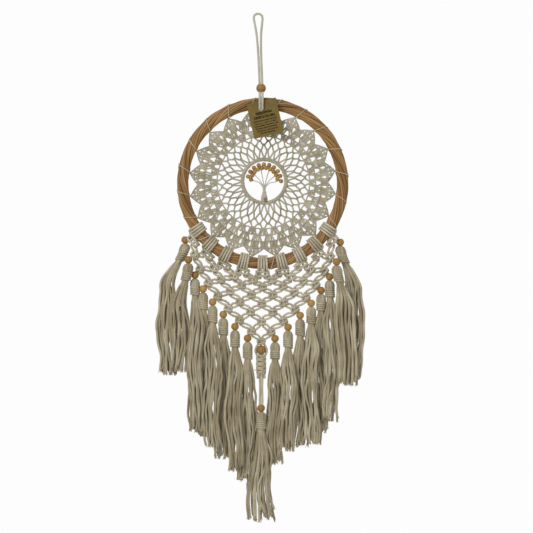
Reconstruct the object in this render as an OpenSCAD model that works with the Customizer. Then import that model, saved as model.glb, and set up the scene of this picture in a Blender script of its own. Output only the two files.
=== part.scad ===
// Macrame dream catcher: a rattan hoop with a crocheted web, a little tree of beads,
// a net of square knots below it, sixteen side tassels and a long centre drop.
// Origin: where the hanging loop bears on its nail. +Z is up and -Y is the front.

/* [Hanging] */
// Thickness of the cotton cord that everything is tied from
cord_d = 3.2; // [2:0.1:3.6]
// Distance from the nail to the middle of the hanging bead
loop_len = 94; // [60:1:160]
// How far the loop slants sideways on its way down to the bead
loop_slant = 4; // [0:0.5:10]
// Diameter of the nail that the loop hangs on
nail_d = 8; // [3:0.5:10]
// Diameter of the hanging bead
hanging_bead_d = 12.4; // [10:0.1:16]

/* [Hoop] */
// Outer diameter of the hoop
hoop_d = 220; // [205:1:270]
// Thickness of the twisted bundle of rattan rods
bundle_d = 15; // [12:0.5:18]
// How far the hoop's middle hangs to the right of the bead
hoop_shift = 2; // [-5:0.5:5]
// Gap between the bottom of the hanging bead and the top of the hoop
hoop_drop = 6; // [5:0.5:20]
// Thickness of the thread that lashes the web to the hoop
thread_d = 1; // [0.6:0.1:1.2]

/* [Web] */
// Number of pointed fans round the edge of the web
fans = 20; // [12:1:24]
// Number of mesh cells in each round of the web
cells = 28; // [16:2:28]
// Middle diameter of the small ring that holds the tree
ring_d = 56; // [46:1:66]
// Thickness of the small ring with its cord wrapping
ring_wrap_d = 5.6; // [4:0.1:7]
// Thickness of the wire inside the small ring
ring_wire_d = 2; // [1:0.1:3]
// Thickness of the crochet
crochet_t = 2; // [1.2:0.1:3]
// Diameter of the small wooden beads in the tree
tree_bead_d = 4.8; // [3.6:0.1:5.2]
// Thickness of the wire and thin cord of the branches
branch_d = 1.2; // [0.8:0.1:1.4]

/* [Tag] */
// Width of the card tag
tag_w = 38.5; // [28:0.5:48]
// Height of the card tag
tag_h = 45.5; // [34:0.5:56]
// Thickness of the card
tag_t = 0.6; // [0.3:0.1:1]
// Angle at which the tag hangs
tag_tilt = 13; // [0:1:20]

/* [Net] */
// Angle between neighbouring groups of cords round the hoop
group_step = 13.6; // [12.5:0.1:14]
// How far out from the last group of cords each top side bead sits
bead_out = 3.7; // [0:0.1:10]
// How far below the last group of cords each top side bead sits
bead_below = 5; // [4:0.1:10]
// How far the net hangs below the hoop
net_below = 103.2; // [85:0.1:130]
// Diameter of one square knot
knot_d = 9.2; // [7:0.1:9.6]
// Thickness of the net from front to back
net_t = 7; // [5:0.5:9]

/* [Tassels] */
// Diameter of the wooden bead on each side tassel
side_bead_d = 10; // [8:0.1:10.2]
// Bore of the wooden beads that take one tie cord
bore_d = 3.8; // [3.7:0.1:4.4]
// Width of a side tassel between its neighbours
tassel_w = 11; // [8:0.1:11.4]
// Depth of a side tassel from front to back
tassel_depth = 17; // [12:0.5:20]
// Width of the two outermost tassels, which hang free
outer_w = 17; // [12:0.5:20]
// Depth of the two outermost pairs, which hang one behind the other
outer_depth = 10; // [7:0.5:10.2]
// Height of the knotted head of a side tassel
head_h = 24; // [16:0.5:28]

/* [Centre drop] */
// Diameter of the large bead under the net
centre_bead_d = 12; // [9:0.1:12.4]
// Length of the short knotted bar under the large bead
sinnet_h = 23; // [14:0.5:30]
// Length of the plain double cord above the lower bead
drop_len = 40; // [20:1:60]
// Length of the bottom tassel
drop_tassel_len = 142; // [100:1:170]
// Width of the bottom tassel
drop_tassel_w = 22; // [14:0.5:22]

/* [Hidden] */
$fn = 48;
sides = 8;                 // sides on a thin cord
fit = 0.15;                // gap between a cord and what it is wrapped round or threaded through
free = 0.4;                // gap between pieces that move past each other
cord_r = cord_d / 2;
top_knots = 9;             // knots in the net's first row, one under each group of cords on the hoop
side_count = top_knots - 1;

// Hanging line: everything under the nail is set out from the bead's middle.
bead_z = -loop_len;
loop_end_z = bead_z - hanging_bead_d / 2 - free;
hoop_top_z = bead_z - hanging_bead_d / 2 - hoop_drop;
bundle_r = bundle_d / 2;
hoop_r = hoop_d / 2 - bundle_r;
hoop_z = hoop_top_z - hoop_d / 2;
hitch_pitch = cord_d + 0.3;
hitch_angle = asin(hoop_shift / hoop_r);
hitch_z = hoop_z + hoop_r * cos(hitch_angle);
wrap_r = bundle_r + cord_r + fit;

// Half of the loop from the bead up: how far it has opened, from together to the nail's width,
// and how far below the nail that is, both as shares.
eye_r = nail_d / 2 + cord_r;
loop_gap = cord_r + 0.1;
loop_shape = [[0, 1.02], [0, 0.7], [0.05, 0.6], [0.28, 0.425], [0.69, 0.255], [1, 0.128], [1, 0.064]];

// Web, measured from the middle of the hoop.
web_out = hoop_r - wrap_r - cord_r - fit;
fan_valley = web_out * 0.9;
ring_r = ring_d / 2;
mesh_in = ring_r + ring_wrap_d / 2 + 0.1;
border_in = web_out * 0.79;
mesh_rows = [0, 0.27, 0.45, 0.6, 0.76, 1];   // cell corners, as shares of the mesh's width
strand_w = 1.9;
fan_step = 360 / fans;
fan_start = 10;
cell_step = 360 / cells;
eyelet_r = web_out * 0.86;
ring_shift = [2, 3];       // how far the small ring sits right of and above the hoop's middle
eyelet_d = 3.4;

// Tree, measured from the middle of the small ring.
ring_in = ring_r - ring_wrap_d / 2;
fork = [0, -7];
trunk_base_d = 8.4;
trunk_top_d = 3.6;
arch_r = [ring_in - tree_bead_d * 0.75, ring_in - tree_bead_d * 1.7];   // the arch's outer and inner beads
hub_r = (arch_r[0] + arch_r[1]) / 2;
arch_beads = 20;
arch_step = 173 / (arch_beads - 1);
branch_y = tree_bead_d / 2 + branch_d / 2 + 0.1;

// Tag, hung on the front of the hitch by its hole.
tag_y = -(bundle_r + 2 * cord_r + fit + free);
tag_front_y = tag_y - tag_t - free - cord_r;
tag_hole_z = hoop_top_z - bundle_d - 0.8;
tag_hole_d = cord_d + 1;
tag_above_hole = 10;
tag_left_of_hole = 17;

// Net: the side beads lie on a curve from the top corners down to the middle.
net_x = hoop_shift;
top_knot_r = hoop_r + wrap_r + cord_r + fit + knot_d / 2;
last_group = group_step * (top_knots - 1) / 2;
bead_reach = top_knot_r * sin(last_group) + bead_out;
bead_top_z = hoop_z - top_knot_r * cos(last_group) - bead_below;
net_drop = bead_top_z - (hoop_z - hoop_d / 2 - net_below);
row_sag = top_knot_r - (hoop_z - bead_top_z) - 1;
tie_len = side_bead_d / 2 + knot_d / 2 + 0.8;
tie_angle = [84, 55, 43, 43, 43, 40, 36, 30];
lean = [9, 7, 3, 2, 1, 0.5, 0, 0];
left_len = [176, 145, 203, 192, 188, 187, 187, 185];
right_len = [178, 160, 187, 185, 182, 171, 160, 163];
function along(k) = (k - 1) / side_count;
function side_x(side, k) = net_x * (1 - along(k)) + side * bead_reach * (1 - pow(along(k), 1.45));
function side_z(side, k) = bead_top_z - net_drop * pow(along(k), 0.82) - side * 1.5 * (1 - along(k));
function side_y(k) = k == 1 ? outer_depth / 2 + free : k == 2 ? -outer_depth / 2 - free : 0;
function corner(side, r) = r > side_count ? [0, 0, bottom_knot_z] :
    [side_x(side, r) - side * tie_len * sin(tie_angle[r - 1]), 0,
     side_z(side, r) + tie_len * cos(tie_angle[r - 1])];
bottom_knot_z = bead_top_z - net_drop + tie_len + 0.2;
function knots_in(r) = top_knots + 1 - r;
function across(r, j) = knots_in(r) == 1 ? 0 : 2 * j / (knots_in(r) - 1) - 1;
function sag(r) = row_sag * pow((top_knots - r) / side_count, 2.2);
function knot_at(r, j) = let(u = across(r, j), a = corner(-1, r), b = corner(1, r))
    a + (b - a) * (u + 1) / 2 - [0, 0, sag(r) * (1 - pow(abs(u), 2.3))];
function top_knot(j) = let(u = across(1, j), t = asin((corner(1, 1)[0] - net_x) / top_knot_r) * u)
    [net_x + top_knot_r * sin(t), 0, hoop_z - top_knot_r * cos(t)];
function net_knot(r, j) = r == 1 ? top_knot(j) : knot_at(r, j);

// Centre drop, from the bottom knot of the net downward.
centre_z = bottom_knot_z - knot_d / 2 - free - centre_bead_d / 2;
sinnet_top = centre_z - centre_bead_d / 2 - 0.2;
drop_top = sinnet_top - sinnet_h;
lower_bead_z = drop_top - drop_len - free - side_bead_d / 2;
sinnet_w = 13;
bury = knot_d * 0.3;       // how far inside a knot a cord starts

// A closed tube of a few sides along a flat route of [x, z] points.
module flat_tube(route, r) {
    n = len(route);
    function heading(i) = let(a = route[max(i - 1, 0)], b = route[min(i + 1, n - 1)], v = b - a) v / norm(v);
    points = [for (i = [0:n - 1], s = [0:sides - 1])
        let(h = heading(i), a = 360 * s / sides)
        [route[i][0] + r * cos(a) * h[1], r * sin(a), route[i][1] - r * cos(a) * h[0]]];
    walls = [for (i = [0:n - 2], s = [0:sides - 1])
        let(a = i * sides + s, b = i * sides + (s + 1) % sides) [b, a, a + sides, b + sides]];
    first = [for (s = [0:sides - 1]) s];
    last = [for (s = [sides - 1:-1:0]) (n - 1) * sides + s];
    polyhedron(points, concat(walls, [first, last]));
}

// A straight bar of a few sides between two points.
module bar(a, b, d) {
    v = b - a;
    translate(a)
        rotate([0, acos(v[2] / norm(v)), atan2(v[1], v[0])])
            cylinder(h = norm(v), d = d, $fn = sides);
}

// A ring round the hoop's bundle, at an angle from straight up.
module bundle_wrap(angle, r, thick) {
    translate([hoop_shift, 0, hoop_z])
        rotate([0, angle, 0])
            translate([0, 0, hoop_r])
                rotate([0, 90, 0])
                    rotate_extrude()
                        translate([r, 0])
                            circle(d = thick);
}

module ring_solid(mid_r, thick) {
    rotate([90, 0, 0])
        rotate_extrude()
            translate([mid_r, 0])
                circle(d = thick);
}

module bored_bead(d, bore) {
    difference() {
        sphere(d = d);
        cylinder(h = 2 * d, d = bore, center = true);
    }
}

module hanging_loop() {
    bend = [for (a = [180:-30:0]) [eye_r * cos(a), eye_r * sin(a) - nail_d / 2]];
    opening = [for (p = loop_shape) [-loop_gap - p[0] * (eye_r - loop_gap), -p[1] * loop_len]];
    up = concat([[-loop_gap, loop_end_z]], opening);
    down = [for (i = [len(up) - 1:-1:0]) [-up[i][0], up[i][1]]];
    slanted = [for (p = concat(up, bend, down)) [p[0] + loop_slant * min(1, -min(p[1], 0) / loop_len), p[1]]];
    color("beige") flat_tube(slanted, cord_r);
}

module hanging_bead() {
    color("peru") translate([loop_slant, 0, bead_z]) bored_bead(hanging_bead_d, 2 * cord_d + 1);
}

module hanging_hitch() {
    color("beige") {
        for (side = [-1, 1]) {
            x = side * hitch_pitch / 2;
            translate([x, 0, 0]) {
                translate([0, 0, hitch_z])
                    rotate([0, 90, 0])
                        rotate_extrude()
                            translate([wrap_r, 0])
                                circle(d = cord_d);
                translate([0, 0, hitch_z + wrap_r])
                    cylinder(h = loop_end_z - free - hitch_z - wrap_r, r = cord_r);
            }
            bend = [x, tag_front_y, hitch_z + 1.5 * cord_d];
            bar([x, tag_front_y, tag_hole_z], bend, cord_d);
            bar(bend, [x, -wrap_r * cos(45), hitch_z + wrap_r * sin(45)], cord_d);
        }
        translate([0, tag_front_y, tag_hole_z])
            rotate([0, 90, 0])
                cylinder(h = hitch_pitch, d = cord_d, center = true);
        translate([0, tag_front_y, tag_hole_z])
            rotate([-90, 0, 0])
                cylinder(h = -tag_front_y - bundle_r + 3, d = cord_d);
    }
}

module rattan_hoop() {
    color("peru") translate([hoop_shift, 0, hoop_z]) ring_solid(hoop_r, bundle_d);
}

// One turn of thread at each fan, apart from those hidden under the cords of the net.
module lashing_thread() {
    color("ivory")
        for (i = [0:fans - 1]) {
            angle = fan_start + i * fan_step;
            from_bottom = (angle - 270) / group_step;
            group_gap = abs(from_bottom - round(from_bottom)) * group_step;
            hidden = abs(from_bottom) < 4.8 && group_gap < 5.2;
            at_hitch = abs(angle - 90) < 5;
            if (!hidden && !at_hitch)
                bundle_wrap(90 - angle, bundle_r + thread_d / 2 + fit, thread_d);
        }
}

module at_ring() {
    translate([hoop_shift + ring_shift[0], 0, hoop_z + ring_shift[1]]) children();
}

module ring_wire() {
    color("gray") at_ring() ring_solid(ring_r, ring_wire_d);
}

module ring_wrap() {
    color("beige") at_ring() difference() {
        ring_solid(ring_r, ring_wrap_d);
        ring_solid(ring_r, ring_wire_d + 0.1);
    }
}

// The crochet is a star-edged sheet round the small ring, with rounds of open cells.
module crochet_web() {
    width = border_in - mesh_in;
    function corner_r(i) = mesh_in + width * mesh_rows[i];
    function spot(r, a) = [r * cos(a), r * sin(a)];
    module cell(low, high, angle) {
        middle = (low + high) / 2;
        side = asin((middle * sin(cell_step / 2) - strand_w / 2) / middle);
        polygon([spot(low + strand_w, angle), spot(middle, angle - side),
                 spot(high - strand_w, angle), spot(middle, angle + side)]);
    }
    star = [for (i = [0:fans - 1], half = [0, 1])
        let(a = fan_start + (i + half / 2) * fan_step)
        spot(half == 0 ? web_out : fan_valley, a)];
    color("beige") rotate([90, 0, 0]) difference() {
        translate([hoop_shift, hoop_z, -crochet_t / 2])
            linear_extrude(crochet_t)
                polygon(star);
        translate([hoop_shift, hoop_z, -crochet_t] + [ring_shift[0], ring_shift[1], 0])
            cylinder(h = 2 * crochet_t, r = mesh_in);
        translate([hoop_shift, hoop_z, -crochet_t] + [ring_shift[0], ring_shift[1], 0] / 2)
            for (i = [0:cells - 1], row = [0:len(mesh_rows) - 3]) {
                angle = (i + (row % 2) / 2) * cell_step;
                linear_extrude(2 * crochet_t)
                    cell(corner_r(row) + 1, corner_r(row + 2), angle);
            }
        translate([hoop_shift, hoop_z, -crochet_t])
            for (i = [0:2 * fans - 1])
                rotate(fan_start + (i + 0.5) * fan_step / 2)
                    translate([eyelet_r, 0, 0])
                        cylinder(h = 2 * crochet_t, d = eyelet_d);
    }
}

module tree_trunk() {
    color("beige") at_ring()
        translate([0, 0, -ring_in - 0.2 + trunk_base_d / 8])
            cylinder(h = fork[1] + ring_in - trunk_base_d / 8, d1 = trunk_base_d, d2 = trunk_top_d);
}

function polar(r, a) = [r * cos(a), 0, r * sin(a)];
function arch_spot(i) = polar(arch_r[i % 2], i * arch_step);
branches = arch_beads / 4 + 1;
function first_bead(b) = max(0, 4 * b - 2);
function last_bead(b) = min(arch_beads - 1, 4 * b + 1);

// Thin cords fan out from the trunk behind the beads, and each bead sits on a short pin.
module tree_branches() {
    back = [0, branch_y, 0];
    start = [fork[0], 0, fork[1] + branch_d];
    knob_d = trunk_top_d * 0.7;
    color("tan") at_ring() {
        translate(start) sphere(d = knob_d);
        translate(start + back) sphere(d = knob_d);
        translate(start)
            rotate([-90, 0, 0])
                cylinder(h = branch_y, d = branch_d);
        for (b = [0:branches - 1]) {
            hub = polar(hub_r, (first_bead(b) + last_bead(b)) / 2 * arch_step) + back;
            translate(hub) sphere(d = branch_d * 1.6);
            bar(start + back, hub, branch_d);
            for (i = [first_bead(b):last_bead(b)]) {
                bar(hub, arch_spot(i) + back, branch_d);
                translate(arch_spot(i) + back)
                    rotate([90, 0, 0])
                        cylinder(h = branch_y + tree_bead_d / 2, d = branch_d * 0.8);
            }
        }
    }
}

// The beads stand in a zigzag arch inside the small ring.
module tree_beads() {
    color("peru") at_ring()
        for (i = [0:arch_beads - 1])
            translate(arch_spot(i))
                rotate([90, 0, 0])
                    bored_bead(tree_bead_d, branch_d * 0.8 + 0.2);
}

module paper_tag() {
    color("darkkhaki")
        translate([0, tag_y, tag_hole_z])
            rotate([90, -tag_tilt, 0])
                linear_extrude(tag_t)
                    difference() {
                        translate([-tag_left_of_hole, tag_above_hole - tag_h]) square([tag_w, tag_h]);
                        circle(d = tag_hole_d);
                    }
}

module mounting_knots() {
    color("beige")
        for (g = [0:top_knots - 1], s = [-1.5:1:1.5])
            bundle_wrap(180 + (g - (top_knots - 1) / 2) * group_step + s * asin((cord_d + 0.45) / hoop_r),
                wrap_r, cord_d);
}

// Square knots in rows of nine down to one, joined by slanting cords, with a tie to each bead.
module knot_net() {
    color("beige") {
        for (r = [1:top_knots], j = [0:knots_in(r) - 1])
            translate(net_knot(r, j))
                rotate([90, 0, 0])
                    cylinder(h = net_t, d = knot_d, center = true);
        for (r = [2:top_knots], j = [0:knots_in(r) - 1], up = [0, 1])
            tie(net_knot(r, j), net_knot(r - 1, j + up), cord_d * 1.3, bury);
        for (side = [-1, 1], k = [1:side_count]) {
            bead = [side_x(side, k), side_y(k), side_z(side, k)];
            knot = net_knot(k, side < 0 ? 0 : knots_in(k) - 1);
            tie(knot, bead, cord_d, side_bead_d / 2 + free);
        }
    }
}

// A round cord from inside one knot to a point short of the next.
module tie(from, to, d, short) {
    way = (to - from) / norm(to - from);
    start = from + way * bury;
    translate(start)
        rotate([0, acos(way[2]), atan2(way[1], way[0])])
            cylinder(h = norm(to - from) - bury - short, d = d);
}

module side_bead(side, k) {
    color("peru")
        translate([side_x(side, k), side_y(k), side_z(side, k)])
            rotate([0, -side * lean[k - 1], 0])
                bored_bead(side_bead_d, bore_d);
}

// A tie cord through the bead, a wrapped head and a skirt of cords, flattened to its slot.
module tassel_solid(width, depth, length, top) {
    bulge = max(width, depth);
    head_r = bulge * 0.42;
    neck_r = bulge * 0.36;
    flare = 25;
    translate([0, 0, -top - 1]) cylinder(h = 2 * top + 1, d = cord_d);
    intersection() {
        rotate_extrude()
            polygon([
                [0, -top - fit],
                [head_r * 0.7, -top - 1],
                [head_r, -top - 5],
                [head_r, -top - head_h + 4],
                [neck_r, -top - head_h],
                [bulge / 2, -top - head_h - flare],
                [bulge / 2, -length],
                [0, -length],
            ]);
        translate([-width / 2, -depth / 2, -length - 1]) cube([width, depth, length + 1]);
    }
}

module side_tassel(side, k, length) {
    width = k == 1 ? outer_w : tassel_w;
    depth = k <= 2 ? outer_depth : tassel_depth;
    color("beige")
        translate([side_x(side, k), side_y(k), side_z(side, k)])
            rotate([0, -side * lean[k - 1], 0])
                tassel_solid(width, depth, length, side_bead_d / 2);
}

module centre_bead() {
    color("peru") translate([0, 0, centre_z]) bored_bead(centre_bead_d, bore_d);
}

module centre_sinnet() {
    color("beige") {
        translate([0, 0, centre_z - centre_bead_d / 2])
            cylinder(h = centre_bead_d, d = cord_d);
        translate([-sinnet_w / 2, -net_t / 2, drop_top])
            cube([sinnet_w, net_t, sinnet_h]);
    }
}

module drop_cord() {
    color("beige")
        for (side = [-1, 1])
            translate([side * (cord_r + 0.05), 0, drop_top - drop_len])
                cylinder(h = drop_len, d = cord_d);
}

module drop_bead() {
    color("peru") translate([0, 0, lower_bead_z]) bored_bead(side_bead_d, bore_d);
}

module drop_tassel() {
    color("beige")
        translate([0, 0, lower_bead_z])
            tassel_solid(drop_tassel_w, drop_tassel_w * 0.9, drop_tassel_len + side_bead_d / 2,
                side_bead_d / 2);
}

hanging_loop();
hanging_bead();
translate([loop_slant, 0, 0]) {
    hanging_hitch();
    rattan_hoop();
    lashing_thread();
    ring_wire();
    ring_wrap();
    crochet_web();
    tree_trunk();
    tree_branches();
    tree_beads();
    paper_tag();
    mounting_knots();
    knot_net();
    for (k = [1:side_count]) {
        side_bead(-1, k);
        side_tassel(-1, k, left_len[k - 1]);
        side_bead(1, k);
        side_tassel(1, k, right_len[k - 1]);
    }
    centre_bead();
    centre_sinnet();
    drop_cord();
    drop_bead();
    drop_tassel();
}
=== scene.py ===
import math

import bpy
import numpy as np
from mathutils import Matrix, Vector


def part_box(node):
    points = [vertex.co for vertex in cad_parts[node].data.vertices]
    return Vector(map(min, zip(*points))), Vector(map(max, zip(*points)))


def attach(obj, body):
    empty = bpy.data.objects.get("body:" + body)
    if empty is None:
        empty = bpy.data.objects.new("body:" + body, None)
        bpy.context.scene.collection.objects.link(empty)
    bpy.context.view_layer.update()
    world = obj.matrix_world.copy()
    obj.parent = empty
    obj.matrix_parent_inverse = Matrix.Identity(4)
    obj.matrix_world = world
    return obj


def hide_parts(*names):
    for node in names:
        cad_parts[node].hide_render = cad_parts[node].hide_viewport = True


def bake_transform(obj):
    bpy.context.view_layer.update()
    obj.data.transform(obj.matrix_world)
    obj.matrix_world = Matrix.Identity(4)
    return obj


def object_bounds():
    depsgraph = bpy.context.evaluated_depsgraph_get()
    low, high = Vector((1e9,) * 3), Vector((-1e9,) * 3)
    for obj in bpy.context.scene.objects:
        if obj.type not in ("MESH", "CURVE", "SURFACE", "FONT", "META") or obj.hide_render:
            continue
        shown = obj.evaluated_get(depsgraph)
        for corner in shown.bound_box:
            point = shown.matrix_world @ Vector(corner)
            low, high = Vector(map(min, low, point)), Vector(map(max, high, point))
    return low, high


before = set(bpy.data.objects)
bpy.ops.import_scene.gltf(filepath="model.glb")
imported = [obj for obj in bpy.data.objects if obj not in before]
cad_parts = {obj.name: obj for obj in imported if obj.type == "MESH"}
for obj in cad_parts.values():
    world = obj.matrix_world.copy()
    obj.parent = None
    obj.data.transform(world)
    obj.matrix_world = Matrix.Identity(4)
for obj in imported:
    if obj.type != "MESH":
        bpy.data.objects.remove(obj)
CAD_BOX = [list(corner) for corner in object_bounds()]


# Camera, floor and light. The dream catcher hangs in the open and is seen square from the front,
# in soft white studio light with a gentle key from the upper left. The floor is far below it.
low, high = (np.array(corner) for corner in CAD_BOX)
scene = bpy.context.scene
camera = bpy.data.objects.new("camera", bpy.data.cameras.new("camera"))
scene.collection.objects.link(camera)
scene.camera = camera
camera_distance = 1.9
picture_width = 0.6838
camera.data.lens = 36 * camera_distance / picture_width
camera.location = (0.0109, -camera_distance, -0.3227)
camera.rotation_euler = (math.radians(90), 0, 0)

floor_mesh = bpy.data.meshes.new("floor")
floor_size, floor_drop = 3.0, 0.65
floor_z = low[2] - floor_drop
floor_mesh.from_pydata(
    [(x * floor_size, y * floor_size, floor_z) for x, y in ((-1, -1), (1, -1), (1, 1), (-1, 1))],
    [], [(0, 1, 2, 3)])
floor = bpy.data.objects.new("floor", floor_mesh)
scene.collection.objects.link(floor)


def srgb(code):
    """A hex colour as linear RGBA."""
    parts = [int(code[i:i + 2], 16) / 255 for i in (1, 3, 5)]
    return [c / 12.92 if c <= 0.04045 else ((c + 0.055) / 1.055) ** 2.4 for c in parts] + [1.0]


def node(tree, kind, inputs=None, **settings):
    """Adds a node; settings go to its properties or sockets, inputs holds numbers, sockets and nodes."""
    made = tree.nodes.new("ShaderNode" + kind)
    for name, value in settings.items():
        socket = made.inputs.get(name.replace("_", " ")) if name[0].isupper() else None
        if socket is not None:
            socket.default_value = value
        else:
            setattr(made, name, value)
    for name, source in (inputs or {}).items():
        if isinstance(source, (int, float)):
            made.inputs[name].default_value = source
        else:
            first_out = source.outputs[0] if isinstance(source, bpy.types.Node) else source
            tree.links.new(first_out, made.inputs[name])
    return made


def material(name, build=None, **values):
    """A material with these shader values; a build function may link its colour and normal."""
    made = bpy.data.materials.new(name)
    made.use_nodes = True
    tree = made.node_tree
    shader = tree.nodes["Principled BSDF"]
    for socket, value in values.items():
        shader.inputs[socket.replace("_", " ")].default_value = value
    if build:
        build(tree, shader)
    return made


def blend_colours(tree, amount, first, second, mode="MIX"):
    """Mixes two colours, each a hex code or a socket, by an amount that is a socket or a number."""
    mix = node(tree, "Mix", data_type="RGBA", blend_type=mode)
    for socket, value in ((mix.inputs[0], amount), (mix.inputs[6], first), (mix.inputs[7], second)):
        if isinstance(value, str):
            socket.default_value = srgb(value)
        elif isinstance(value, (int, float)):
            socket.default_value = value
        else:
            tree.links.new(value, socket)
    return mix.outputs[2]


def ramp(tree, level, *stops):
    """A colour ramp over a node's value, from places and hex codes that run upward."""
    made = node(tree, "ValToRGB", {"Fac": level})
    elements = made.color_ramp.elements
    elements[0].position, elements[0].color = stops[0][0], srgb(stops[0][1])
    elements[1].position, elements[1].color = stops[-1][0], srgb(stops[-1][1])
    for place, code in stops[1:-1]:
        elements.new(place).color = srgb(code)
    return made.outputs[0]


def surface(tree, shader, colour, height, strength, depth):
    """Gives a shader its colour and a fine bump; depth is in metres."""
    tree.links.new(colour, shader.inputs["Base Color"])
    bump = node(tree, "Bump", {"Height": height, "Strength": strength, "Distance": depth})
    tree.links.new(bump.outputs[0], shader.inputs["Normal"])


# A seamless sheet of matt white paper.
floor_mesh.materials.append(material("matt_paper_sweep", Base_Color=srgb("#fbfbfa"), Roughness=0.9))

scene.view_settings.view_transform = "Standard"
world = bpy.data.worlds.new("studio")
scene.world = world
world.use_nodes = True
sky = world.node_tree
seen = node(sky, "LightPath")
sky_light = node(sky, "Background", Color=srgb("#ffffff"), Strength=0.36)
sky_seen = node(sky, "Background", Color=srgb("#fdfdfd"), Strength=1.0)
sky_mix = node(sky, "MixShader", {0: seen.outputs["Is Camera Ray"], 1: sky_light,
                                  2: sky_seen.outputs[0]})
sky.links.new(sky_mix.outputs[0], sky.nodes["World Output"].inputs[0])


def soft_box(name, power, size, place, aim):
    """A square area light that faces a point."""
    lamp = bpy.data.lights.new(name, "AREA")
    lamp.energy = power
    lamp.size = size
    holder = bpy.data.objects.new(name, lamp)
    scene.collection.objects.link(holder)
    holder.location = place
    way = np.array(aim) - np.array(place)
    flat = math.hypot(way[0], way[1])
    holder.rotation_euler = (math.atan2(flat, -way[2]), 0, math.atan2(-way[0], way[1]) if flat else 0)
    return holder


soft_box("key", 20, 0.8, (-0.9, -1.5, 0.75), (0, 0, -0.33))
soft_box("fill", 4, 1.2, (1.4, -1.2, -0.2), (0, 0, -0.33))
soft_box("back", 12, 1.2, (0.4, 1.6, 0.6), (0, 0, -0.33))


# Hanging loop. One soft cotton cord of three plies, doubled: its eye hangs on the nail, both
# strands run down through the hanging bead, over the front of the hoop and through the tag.
CORD = 3.2                      # everything below is in millimetres until a mesh is made
CORD_PITCH = 11.0


def box_mm(name):
    """The low and high corners and the middle of a CAD node."""
    low, high = (1000 * np.array(corner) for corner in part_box(name))
    return low, high, (low + high) / 2


def smooth(points, step, closed=False):
    """A smooth route through given points, with a point every step."""
    points = np.asarray(points, float)
    if closed:
        ends = np.vstack([points[-1:], points, points[:2]])
    else:
        ends = np.vstack([2 * points[0] - points[1], points, 2 * points[-1] - points[-2]])
    t = np.linspace(0, 1, 12, endpoint=False)[:, None]
    pieces = []
    for p0, p1, p2, p3 in zip(ends[:-3], ends[1:-2], ends[2:-1], ends[3:]):
        pieces.append(0.5 * (2 * p1 + (p2 - p0) * t + (2 * p0 - 5 * p1 + 4 * p2 - p3) * t ** 2
                             + (3 * p1 - p0 - 3 * p2 + p3) * t ** 3))
    return evenly(np.vstack(pieces + [points[:1] if closed else points[-1:]]), step, closed)


def evenly(route, step, closed=False):
    """The same route with its points a step apart; a closed one doesn't repeat its first point."""
    along = np.concatenate([[0], np.cumsum(np.linalg.norm(np.diff(route, axis=0), axis=1))])
    at = np.linspace(0, along[-1], max(3, int(round(along[-1] / step)) + 1))
    even = np.stack([np.interp(at, along, route[:, k]) for k in range(3)], axis=1)
    return even[:-1] if closed else even


def frames(route):
    """Tangents and a pair of side directions that turn as little as they can along a route."""
    tangent = np.gradient(route, axis=0)
    tangent /= np.linalg.norm(tangent, axis=1)[:, None] + 1e-12
    side = np.zeros_like(route)
    across = (0, 1, 0) if abs(tangent[0][1]) < 0.9 else (1, 0, 0)
    side[0] = np.cross(tangent[0], across)
    side[0] /= np.linalg.norm(side[0])
    for i in range(1, len(route)):
        turned = side[i - 1] - tangent[i] * side[i - 1].dot(tangent[i])
        side[i] = turned / (math.sqrt(turned.dot(turned)) + 1e-12)
    return tangent, side, np.cross(tangent, side)


def ring_quads(rings, sides, closed=False):
    """Faces between rings of points that follow one another, and back to the first when closed."""
    row = np.arange(rings if closed else rings - 1)[:, None] * sides
    col = np.arange(sides)[None]
    beside = (col + 1) % sides
    above = (row + sides) % (rings * sides)
    return np.stack([row + col, row + beside, above + beside, above + col], axis=2).reshape(-1, 4)


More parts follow.
